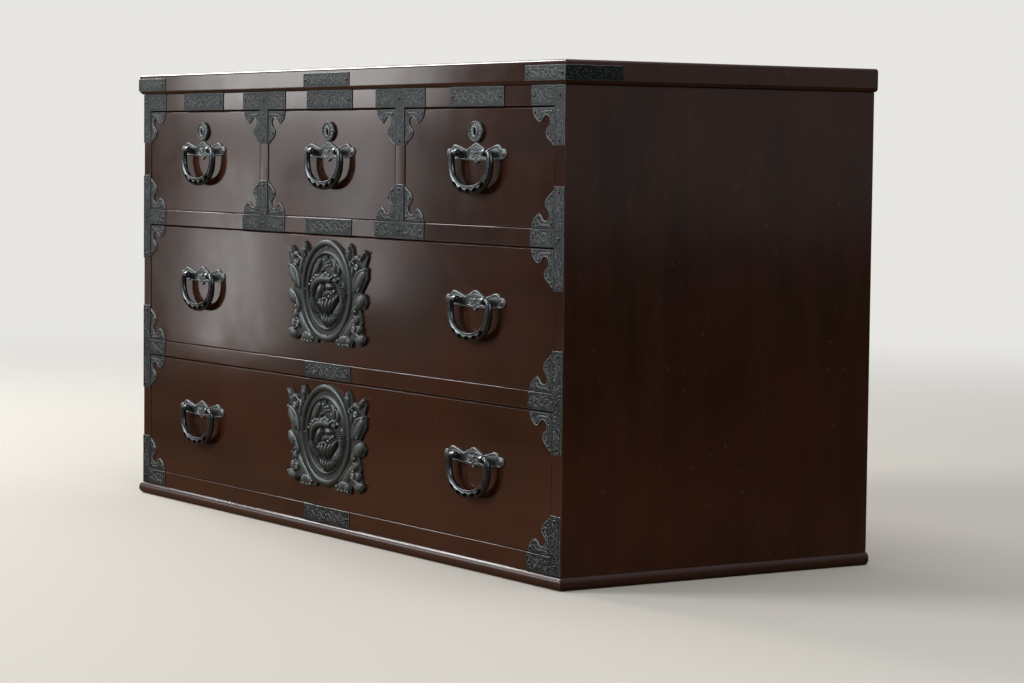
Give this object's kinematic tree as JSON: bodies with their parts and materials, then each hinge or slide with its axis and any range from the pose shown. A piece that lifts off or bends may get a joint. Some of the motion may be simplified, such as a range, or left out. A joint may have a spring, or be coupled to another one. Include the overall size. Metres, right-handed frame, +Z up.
{
  "type": "clothing chest",
  "caption": "Low clothing chest in dark red lacquer with iron corner plates, drop handles and round lock medallions on its drawers, which slide out.",
  "frame": {"origin": "middle of the base board's underside", "axes": "+X to the right as seen from the front, +Y to the back, +Z up; the drawers open towards -Y"},
  "size_m": [1.0994, 0.4637, 0.604],
  "materials": {
    "lacquered_wood": "dark red-brown lacquer, semi-gloss",
    "drawer_wood": "plain planed wood",
    "iron_plate": "engraved, blackened, matt",
    "iron_handle": "blackened, polished by use",
    "lock_brass": "dull"
  },
  "bodies": {
    "case": {"base_board": "lacquered_wood", "side_left": "lacquered_wood", "side_right": "lacquered_wood", "back_panel": "drawer_wood", "floor_board": "drawer_wood", "dust_boards": "drawer_wood", "rail_bottom": "lacquered_wood", "rail_lower": "lacquered_wood", "rail_middle": "lacquered_wood", "rail_top": "lacquered_wood", "divider_left": "lacquered_wood", "divider_right": "lacquered_wood", "top_board": "lacquered_wood", "corner_caps": "iron_plate", "rail_plates": "iron_plate", "corner_plates": "iron_plate", "side_plates": "iron_plate", "divider_plates": "iron_plate"},
    "small_drawer_left": {"small_drawer_left_front": "lacquered_wood", "small_drawer_left_box": "drawer_wood", "small_drawer_left_corners": "iron_plate", "small_drawer_left_handle_plates": "iron_plate", "small_drawer_left_eyes": "iron_handle", "small_drawer_left_key_plate": "iron_plate", "small_drawer_left_lock": "lock_brass"},
    "small_drawer_left_bail": {"small_drawer_left_bail": "iron_handle"},
    "small_drawer_middle": {"small_drawer_middle_front": "lacquered_wood", "small_drawer_middle_box": "drawer_wood", "small_drawer_middle_corners": "iron_plate", "small_drawer_middle_handle_plates": "iron_plate", "small_drawer_middle_eyes": "iron_handle", "small_drawer_middle_key_plate": "iron_plate", "small_drawer_middle_lock": "lock_brass"},
    "small_drawer_middle_bail": {"small_drawer_middle_bail": "iron_handle"},
    "small_drawer_right": {"small_drawer_right_front": "lacquered_wood", "small_drawer_right_box": "drawer_wood", "small_drawer_right_corners": "iron_plate", "small_drawer_right_handle_plates": "iron_plate", "small_drawer_right_eyes": "iron_handle", "small_drawer_right_key_plate": "iron_plate", "small_drawer_right_lock": "lock_brass"},
    "small_drawer_right_bail": {"small_drawer_right_bail": "iron_handle"},
    "wide_drawer_upper": {"wide_drawer_upper_front": "lacquered_wood", "wide_drawer_upper_box": "drawer_wood", "wide_drawer_upper_corners": "iron_plate", "wide_drawer_upper_handle_plates": "iron_plate", "wide_drawer_upper_eyes": "iron_handle", "wide_drawer_upper_medallion": "iron_plate", "wide_drawer_upper_lock": "lock_brass"},
    "wide_drawer_upper_bail_left": {"wide_drawer_upper_bail_left": "iron_handle"},
    "wide_drawer_upper_bail_right": {"wide_drawer_upper_bail_right": "iron_handle"},
    "wide_drawer_lower": {"wide_drawer_lower_front": "lacquered_wood", "wide_drawer_lower_box": "drawer_wood", "wide_drawer_lower_corners": "iron_plate", "wide_drawer_lower_handle_plates": "iron_plate", "wide_drawer_lower_eyes": "iron_handle", "wide_drawer_lower_medallion": "iron_plate", "wide_drawer_lower_lock": "lock_brass"},
    "wide_drawer_lower_bail_left": {"wide_drawer_lower_bail_left": "iron_handle"},
    "wide_drawer_lower_bail_right": {"wide_drawer_lower_bail_right": "iron_handle"}
  },
  "joints": [
    {"name": "small_drawer_left_slide", "type": "slide", "parent": "case", "child": "small_drawer_left", "axis": [0, -1, 0], "range_m": [0, 0.32]},
    {"name": "small_drawer_left_bail_swing", "type": "hinge", "parent": "small_drawer_left", "child": "small_drawer_left_bail", "pos_m": [-0.35533, -0.2332, 0.49775], "axis": [-1, 0, 0], "range_deg": [0, 160]},
    {"name": "small_drawer_middle_slide", "type": "slide", "parent": "case", "child": "small_drawer_middle", "axis": [0, -1, 0], "range_m": [0, 0.32]},
    {"name": "small_drawer_middle_bail_swing", "type": "hinge", "parent": "small_drawer_middle", "child": "small_drawer_middle_bail", "pos_m": [0, -0.2332, 0.49775], "axis": [-1, 0, 0], "range_deg": [0, 160]},
    {"name": "small_drawer_right_slide", "type": "slide", "parent": "case", "child": "small_drawer_right", "axis": [0, -1, 0], "range_m": [0, 0.32]},
    {"name": "small_drawer_right_bail_swing", "type": "hinge", "parent": "small_drawer_right", "child": "small_drawer_right_bail", "pos_m": [0.35533, -0.2332, 0.49775], "axis": [-1, 0, 0], "range_deg": [0, 160]},
    {"name": "wide_drawer_upper_slide", "type": "slide", "parent": "case", "child": "wide_drawer_upper", "axis": [0, -1, 0], "range_m": [0, 0.32]},
    {"name": "wide_drawer_upper_bail_left_swing", "type": "hinge", "parent": "wide_drawer_upper", "child": "wide_drawer_upper_bail_left", "pos_m": [-0.356, -0.2332, 0.3235], "axis": [-1, 0, 0], "range_deg": [0, 160]},
    {"name": "wide_drawer_upper_bail_right_swing", "type": "hinge", "parent": "wide_drawer_upper", "child": "wide_drawer_upper_bail_right", "pos_m": [0.356, -0.2332, 0.3235], "axis": [-1, 0, 0], "range_deg": [0, 160]},
    {"name": "wide_drawer_lower_slide", "type": "slide", "parent": "case", "child": "wide_drawer_lower", "axis": [0, -1, 0], "range_m": [0, 0.32]},
    {"name": "wide_drawer_lower_bail_left_swing", "type": "hinge", "parent": "wide_drawer_lower", "child": "wide_drawer_lower_bail_left", "pos_m": [-0.356, -0.2332, 0.1365], "axis": [-1, 0, 0], "range_deg": [0, 160]},
    {"name": "wide_drawer_lower_bail_right_swing", "type": "hinge", "parent": "wide_drawer_lower", "child": "wide_drawer_lower_bail_right", "pos_m": [0.356, -0.2332, 0.1365], "axis": [-1, 0, 0], "range_deg": [0, 160]}
  ]
}
